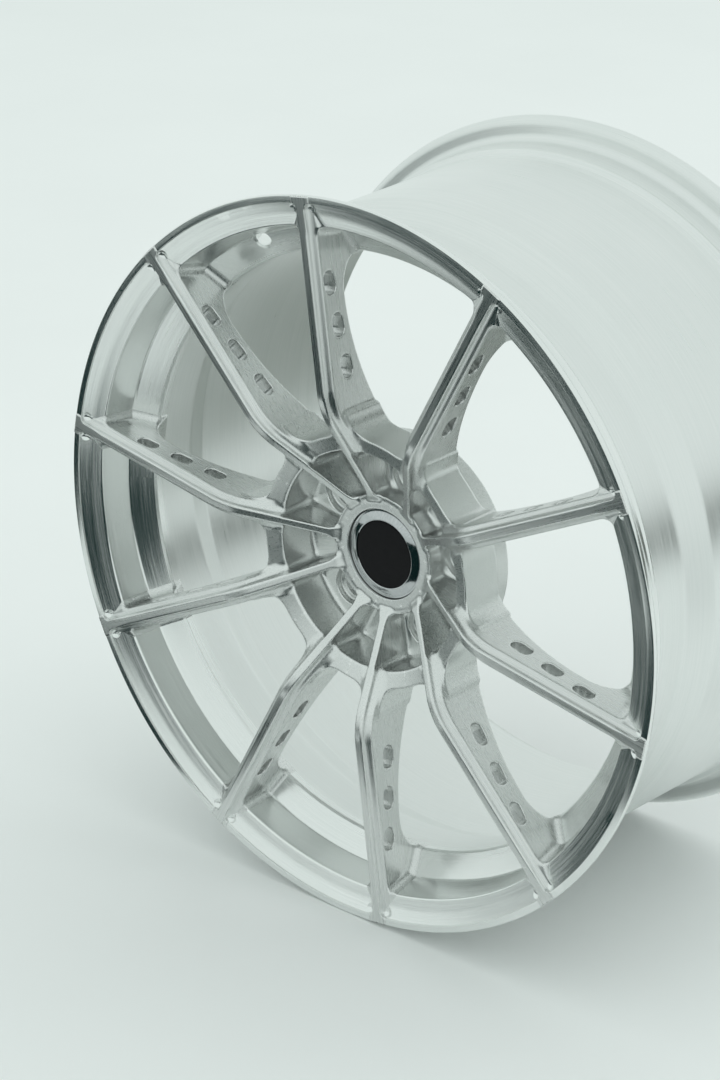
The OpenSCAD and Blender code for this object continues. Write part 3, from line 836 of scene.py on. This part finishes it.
def ring_alloy():
    finish = alloy("ring_alloy", (1000, 3, 1000), 0.75, rough=0.19, bump=0.02, dark=0.83, softer=0.15)
    tangent = finish.tree.nodes.new("ShaderNodeTangent")
    tangent.direction_type = "RADIAL"
    tangent.axis = "Y"
    finish.set(Tangent=tangent.outputs["Tangent"])
    return finish.material


def spoke_alloy(name, anisotropic, rough, dark):
    finish = alloy(name, (22, 240, 1100), anisotropic, rough, bump=0.05, dark=dark)
    grain = finish.node("ShaderNodeAttribute")
    grain.attribute_name = "grain"
    finish.set(Tangent=grain.outputs["Vector"])
    return finish.material


def chrome():
    finish = Finish("bezel_chrome", Metallic=1.0)
    haze = finish.noise(turned_place(finish, 300, 30, 300), 1.0)
    finish.set(Base_Color=finish.tint(haze, (0.42, 0.44, 0.45), (0.66, 0.67, 0.68)),
               Roughness=finish.span(haze, 0.05, 0.12))
    finish.bump(haze, 0.03, 0.0001)
    return finish.material


def gloss_black():
    finish = Finish("disc_gloss", Specular_IOR_Level=0.12)
    haze = finish.noise(finish.place(), 220.0, 4.0)
    finish.set(Base_Color=finish.tint(haze, (0.002, 0.002, 0.003), (0.006, 0.006, 0.007)),
               Roughness=finish.span(haze, 0.16, 0.26))
    finish.bump(haze, 0.04, 0.0001)
    return finish.material


# Speckled finish for plastic, wire and rubber.
def speckled(name, dark, light, rough, metallic=0.0):
    finish = Finish(name, Metallic=metallic)
    speck = finish.noise(finish.place(), 400.0, 5.0, 0.65)
    finish.set(Base_Color=finish.tint(speck, dark, light),
               Roughness=finish.span(speck, rough - 0.08, rough + 0.08))
    finish.bump(speck, 0.15, 0.0002)
    return finish.material


def paint(obj, material):
    obj.data.materials.clear()
    obj.data.materials.append(material)


# Stage, in metres: a pale floor, a soft overhead light, cards for the metal to mirror, and the photo's angle.
FLOOR_Z = -OUT_R * MM
FLOOR_GAP = 0.0003
FLOOR_HALF = 12.0
FLOOR_LOW, FLOOR_HIGH = (0.835, 0.85, 0.845), (0.885, 0.90, 0.895)
CARD_LIFT = 0.001
CARD_FAR = 1.5
CARD_FRONT, CARD_NEAR = -0.70, -0.38
DARK_LOW, DARK_HIGH = (0.006, 0.020, 0.020), (0.012, 0.030, 0.030)
WALL_LOW, WALL_HIGH = (0.07, 0.08, 0.07), (0.10, 0.11, 0.10)
# Grey of the painted shadow card behind the wheel.
REAR_SHADOW_LOW, REAR_SHADOW_HIGH = (0.26, 0.28, 0.26), (0.32, 0.34, 0.32)
LAMP_PLACE, LAMP_SIDE, LAMP_WATTS = (0.4, 0.8, 2.8), 4.0, 22
WORLD_COLOUR, WORLD_STRENGTH = (0.915, 1.0, 0.975, 1), 0.85
CAMERA_PLACE = 1.319853, -1.614842, 0.868093
CAMERA_AIM = -0.60726, 0.69169, -0.39090
CAMERA_LENS, CAMERA_SENSOR = 161.5, 36
PICTURE = 720, 1080


def flat(name, corners, low, high, rough, scale):
    mesh = bpy.data.meshes.new(name)
    mesh.from_pydata(corners, [], [(0, 1, 2, 3)])
    obj = bpy.data.objects.new(name, mesh)
    bpy.context.collection.objects.link(obj)
    finish = Finish(name + "_paper", Roughness=rough, Specular_IOR_Level=0.0)
    haze = finish.noise(finish.place(), scale)
    finish.set(Base_Color=finish.tint(haze, low, high))
    paint(obj, finish.material)
    return obj


def floor():
    h, z = FLOOR_HALF, FLOOR_Z - FLOOR_GAP
    flat("floor", [(-h, -h, z), (h, -h, z), (h, h, z), (-h, h, z)], FLOOR_LOW, FLOOR_HIGH, 0.7, 3.0)


# A card that only reflections show.
def card(name, corners, low, high):
    obj = flat(name, corners, low, high, 0.9, 2.0)
    obj.visible_camera = False
    obj.visible_diffuse = False
    obj.visible_shadow = False


# A card lying on the floor.
def floor_card(name, corners, low, high):
    card(name, [(x, y, FLOOR_Z + CARD_LIFT) for x, y in corners], low, high)


# Dark cards lie in front and at the left, with a pale gap that lights the ridges; the greyer one behind is a
# painted shadow, the wheel's shade on the floor there as the metal mirrors it.
def cards():
    far, front, near = CARD_FAR, CARD_FRONT, CARD_NEAR
    for name, corners in (
            ("front_card", [(-far, -2.5), (far, -2.5), (far, front), (-far, front)]),
            ("left_card", [(-far, front), (-0.64, front), (-0.64, -0.20), (-far, 0.12)]),
            ("near_card", [(-0.14, front), (far, front), (far, near), (-0.14, near)]),
            ("side_card", [(-0.96, 0.12), (-0.46, near), (-0.06, near), (-0.56, 0.12)])):
        floor_card(name, corners, DARK_LOW, DARK_HIGH)
    # Painted shadow: a grey card behind the wheel, seen only in reflections, darkens the mirrored floor where
    # the wheel's shade falls.
    floor_card("rear_shadow_card", [(-0.30, 0.24), (0.25, 0.24), (0.30, 0.80), (-0.30, 0.80)], REAR_SHADOW_LOW, REAR_SHADOW_HIGH)
    low, high = -0.25, 0.27
    wall = [(2.95, 1.25, low), (1.25, 2.95, low), (1.25, 2.95, high), (2.95, 1.25, high)]
    card("wall_card", wall, WALL_LOW, WALL_HIGH)


# A square lamp turned toward the wheel, kept out of reflections.
def overhead():
    light = bpy.data.lights.new("overhead", "AREA")
    light.shape = "RECTANGLE"
    light.size = light.size_y = LAMP_SIDE
    light.energy = LAMP_WATTS
    obj = bpy.data.objects.new("overhead", light)
    bpy.context.collection.objects.link(obj)
    obj.location = LAMP_PLACE
    obj.rotation_euler = Vector(LAMP_PLACE).to_track_quat("Z", "Y").to_euler()
    obj.visible_glossy = False


def camera():
    lens = bpy.data.cameras.new("camera")
    lens.lens = CAMERA_LENS
    lens.sensor_fit = "HORIZONTAL"
    lens.sensor_width = CAMERA_SENSOR
    view = bpy.data.objects.new("camera", lens)
    bpy.context.collection.objects.link(view)
    view.location = CAMERA_PLACE
    view.rotation_euler = Vector(CAMERA_AIM).to_track_quat("-Z", "Y").to_euler()
    return view


def stage():
    scene = bpy.context.scene
    scene.camera = camera()
    scene.render.resolution_x, scene.render.resolution_y = PICTURE
    scene.view_settings.view_transform = "Standard"
    scene.world = bpy.data.worlds.new("studio")
    scene.world.use_nodes = True
    background = scene.world.node_tree.nodes["Background"]
    background.inputs["Color"].default_value = WORLD_COLOUR
    background.inputs["Strength"].default_value = WORLD_STRENGTH
    floor()
    overhead()
    cards()


# Build the wheel and its cap, then give every piece its finish.
paint(rim_shell(), ring_alloy())
spoke_skins, hub_skin = spokes_and_hub()
spoke_finish = spoke_alloy("spoke_alloy", anisotropic=0.65, rough=0.29, dark=0.62)
for skin_piece in spoke_skins:
    paint(skin_piece, spoke_finish)
paint(hub_skin, spoke_alloy("hub_alloy", anisotropic=0.3, rough=0.29, dark=0.68))
for cap_piece, finish_made in zip(cap_front(), (chrome(), gloss_black())):
    paint(cap_piece, finish_made)
for node_name, finish_made in (
        ("cap_body", speckled("clip_plastic", (0.010, 0.010, 0.011), (0.020, 0.020, 0.022), 0.5)),
        ("cap_spring", speckled("wire_steel", (0.45, 0.46, 0.47), (0.60, 0.61, 0.62), 0.3, metallic=1.0)),
        ("cap_seal", speckled("seal_rubber", (0.008, 0.008, 0.008), (0.020, 0.020, 0.020), 0.7))):
    for part_slot in frame["nodes"][node_name].material_slots:
        part_slot.material = finish_made
stage()
bpy.context.view_layer.update()
